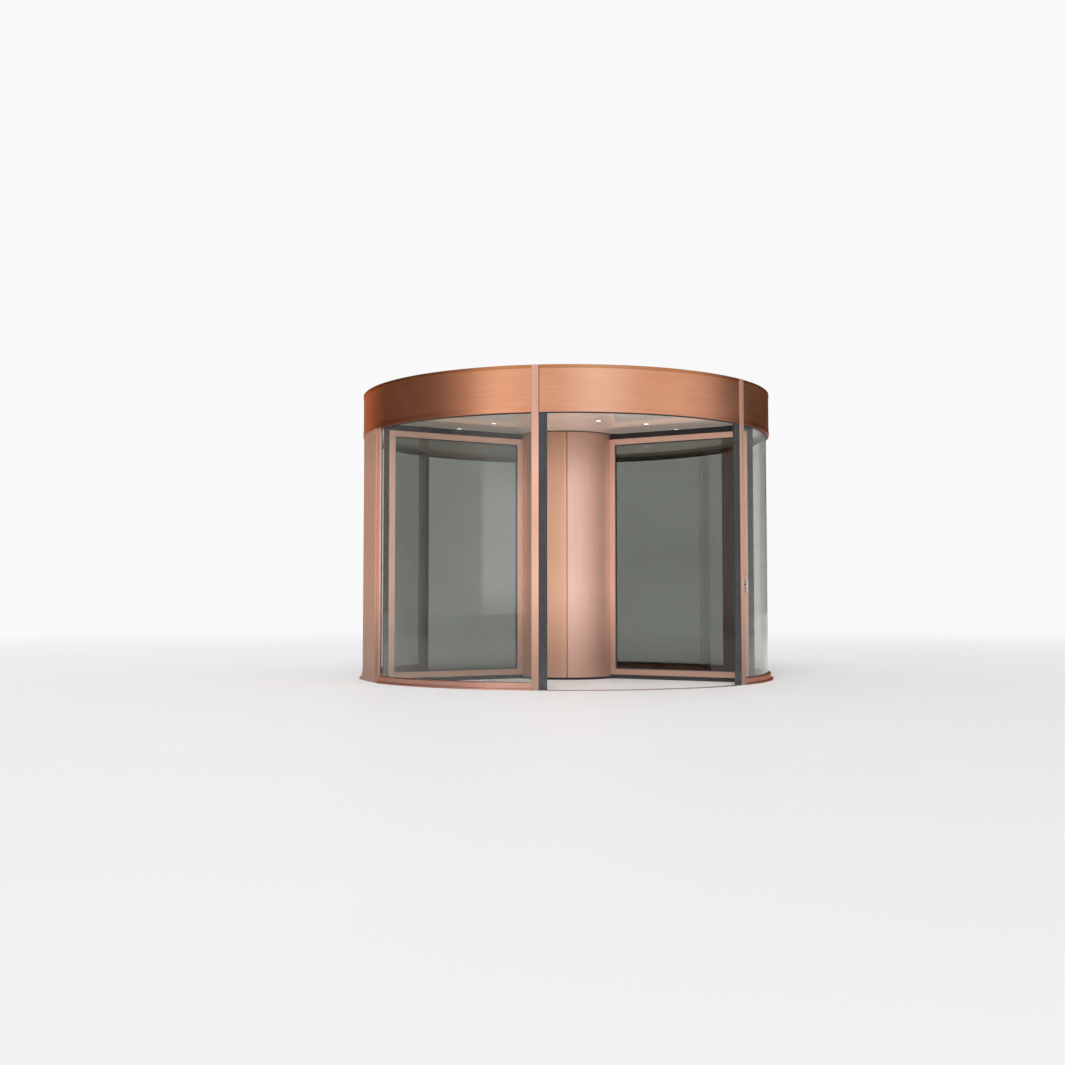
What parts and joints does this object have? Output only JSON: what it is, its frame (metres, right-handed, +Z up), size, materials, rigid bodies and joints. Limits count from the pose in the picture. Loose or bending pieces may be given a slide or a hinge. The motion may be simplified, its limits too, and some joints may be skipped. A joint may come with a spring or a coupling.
{
  "type": "revolving door",
  "caption": "Round glazed entrance drum with a deep canopy and a turning rotor of framed glass wings on a wide clad column.",
  "frame": {"origin": "on the floor at the drum's centre, on the rotor's axis", "axes": "+Z up, -Y out through the front mouth, +X to the right as seen from outside the front mouth"},
  "size_m": [4.1456, 4.1896, 2.85],
  "materials": {
    "copper_cladding": "brushed, copper toned",
    "copper_trim": "satin, lighter copper tone",
    "deck_sheet": "matt grey sheet",
    "ceiling_sheet": "glossy, beige",
    "lamp_glass": "opal lens with a pale rim",
    "wall_glass": "clear, curved",
    "wing_glass": "clear, slightly grey",
    "black_rubber": "matt black",
    "black_brush": "black bristle",
    "threshold_metal": "satin",
    "switch_metal": "satin",
    "switch_barrel": "dark",
    "machined_steel": "turned",
    "drive_paint": "satin grey",
    "dark_plinth": "matt black"
  },
  "bodies": {
    "drum": {"canopy_fascia_front": "copper_cladding", "canopy_fascia_back": "copper_cladding", "canopy_fascia_left": "copper_cladding", "canopy_fascia_right": "copper_cladding", "canopy_bands": "copper_trim", "mouth_headers": "ceiling_sheet", "canopy_seals": "black_rubber", "canopy_deck": "deck_sheet", "ceiling": "ceiling_sheet", "downlights": "lamp_glass", "mouth_posts": "copper_cladding", "end_posts": "copper_cladding", "wall_jamb_left": "copper_cladding", "wall_jamb_right": "copper_cladding", "wall_glass_front_left": "wall_glass", "wall_glass_front_right": "wall_glass", "wall_glass_back_left": "wall_glass", "wall_glass_back_right": "wall_glass", "bottom_rail_front_left": "copper_cladding", "bottom_rail_front_right": "copper_cladding", "bottom_rail_back_left": "copper_cladding", "bottom_rail_back_right": "copper_cladding", "safety_edges": "black_rubber", "thresholds": "threshold_metal", "key_switch": "switch_metal", "key_barrel": "switch_barrel", "floor_bearing": "machined_steel", "drive_unit": "drive_paint"},
    "rotor": {"rotor_shaft": "machined_steel", "column_base": "dark_plinth", "column_head": "dark_plinth", "column_panels": "copper_cladding", "glazing_gaskets": "black_rubber", "wing_1_stiles": "copper_cladding", "wing_1_rails": "copper_cladding", "wing_1_glass": "wing_glass", "wing_1_brushes": "black_brush", "wing_2_stiles": "copper_cladding", "wing_2_rails": "copper_cladding", "wing_2_glass": "wing_glass", "wing_2_brushes": "black_brush", "wing_3_stiles": "copper_cladding", "wing_3_rails": "copper_cladding", "wing_3_glass": "wing_glass", "wing_3_brushes": "black_brush"}
  },
  "joints": [
    {"name": "rotor_turn", "type": "hinge", "parent": "drum", "child": "rotor", "pos_m": [0, 0, 0], "axis": [0, 0, 1], "continuous": true}
  ]
}
